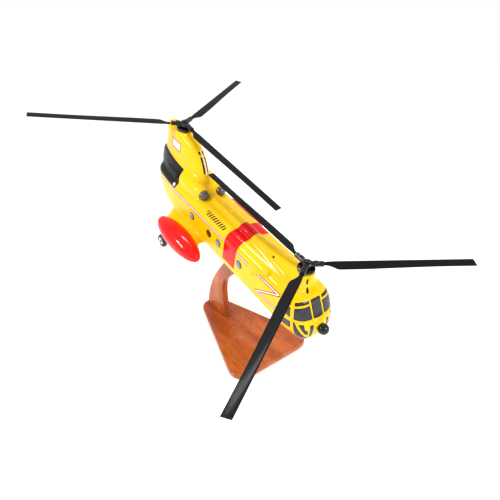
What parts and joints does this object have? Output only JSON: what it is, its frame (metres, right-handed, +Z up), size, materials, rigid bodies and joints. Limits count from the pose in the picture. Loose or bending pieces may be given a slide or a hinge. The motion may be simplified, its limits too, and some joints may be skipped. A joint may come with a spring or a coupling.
{
  "type": "helicopter scale model",
  "caption": "Tandem-rotor helicopter desk model, nose down on a curved wooden arm and wedge-shaped base; its rotors and wheels turn.",
  "frame": {"origin": "centre of the stand's felt underside, on the table", "axes": "+X towards the helicopter's nose, +Y to its port side, +Z up"},
  "size_m": [0.4674, 0.3536, 0.3137],
  "materials": {
    "yellow_lacquer": "gloss lacquer over carved wood",
    "red_lacquer": "gloss lacquer over carved wood",
    "window_grey": "gloss, dark grey",
    "porthole_grey": "gloss, blue grey",
    "porthole_brown": "gloss, dark brown",
    "intake_olive": "gloss, dark olive",
    "black_gloss": "gloss",
    "blade_grey": "satin",
    "steel": "satin",
    "wheel_black": "satin",
    "mahogany": "clear gloss varnish",
    "felt_green": "felt"
  },
  "bodies": {
    "stand": {"stand_base": "mahogany", "base_felt": "felt_green", "stand_arm": "mahogany", "mounting_peg": "steel", "arm_screw_1": "steel", "arm_screw_2": "steel"},
    "airframe": {"fuselage": "yellow_lacquer", "forward_pylon": "yellow_lacquer", "aft_pylon": "yellow_lacquer", "drive_shaft_cover": "yellow_lacquer", "engine_nacelle_R": "yellow_lacquer", "engine_nacelle_L": "yellow_lacquer", "sponson_stub_R": "yellow_lacquer", "sponson_stub_L": "yellow_lacquer", "radome_ring": "yellow_lacquer", "hoist_housing": "yellow_lacquer", "hoist_arm": "yellow_lacquer", "sponson_pod_R": "red_lacquer", "sponson_pod_L": "red_lacquer", "windscreen_center": "window_grey", "windscreen_R": "window_grey", "windscreen_L": "window_grey", "eyebrow_window_R": "window_grey", "eyebrow_window_L": "window_grey", "cockpit_side_window_R": "window_grey", "cockpit_side_window_L": "window_grey", "porthole_1_R": "porthole_grey", "porthole_1_L": "porthole_grey", "porthole_2_R": "porthole_grey", "porthole_2_L": "porthole_grey", "porthole_4_R": "porthole_grey", "porthole_4_L": "porthole_grey", "porthole_3_R": "porthole_brown", "porthole_3_L": "porthole_brown", "engine_intake_R": "intake_olive", "engine_intake_L": "intake_olive", "exhaust_pipe_R": "black_gloss", "exhaust_pipe_L": "black_gloss", "nose_radome": "black_gloss", "front_rotor_boot": "black_gloss", "aft_rotor_boot": "black_gloss", "front_rotor_pin": "black_gloss", "aft_rotor_pin": "black_gloss", "main_gear_leg_R": "steel", "main_gear_leg_L": "steel", "nose_gear_leg": "steel"},
    "front_rotor": {"front_rotor_hub": "black_gloss", "front_rotor_blade_1": "blade_grey", "front_rotor_blade_2": "blade_grey", "front_rotor_blade_3": "blade_grey"},
    "aft_rotor": {"aft_rotor_hub": "black_gloss", "aft_rotor_blade_1": "blade_grey", "aft_rotor_blade_2": "blade_grey", "aft_rotor_blade_3": "blade_grey"},
    "main_wheel_right": {"main_wheel_R": "wheel_black"},
    "main_wheel_left": {"main_wheel_L": "wheel_black"},
    "nose_wheel_body": {"nose_wheel": "wheel_black"}
  },
  "joints": [
    {"name": "airframe_lift", "type": "slide", "parent": "stand", "child": "airframe", "axis": [0.2181, 0, 0.9759], "range_m": [0, 0.02]},
    {"name": "front_rotor_spin", "type": "hinge", "parent": "airframe", "child": "front_rotor", "pos_m": [0.12912, 0, 0.18618], "axis": [0.2145, -0.0436, 0.9757], "continuous": true},
    {"name": "aft_rotor_spin", "type": "hinge", "parent": "airframe", "child": "aft_rotor", "pos_m": [-0.12206, 0, 0.28823], "axis": [0.279, 0.0061, 0.9603], "continuous": true},
    {"name": "main_wheel_right_roll", "type": "hinge", "parent": "airframe", "child": "main_wheel_right", "pos_m": [-0.1118, -0.0578, 0.12834], "axis": [0, 1, 0], "continuous": true},
    {"name": "main_wheel_left_roll", "type": "hinge", "parent": "airframe", "child": "main_wheel_left", "pos_m": [-0.1118, 0.0578, 0.12834], "axis": [0, 1, 0], "continuous": true},
    {"name": "nose_wheel_roll", "type": "hinge", "parent": "airframe", "child": "nose_wheel_body", "pos_m": [0.08052, 0, 0.08791], "axis": [0, 1, 0], "continuous": true}
  ]
}
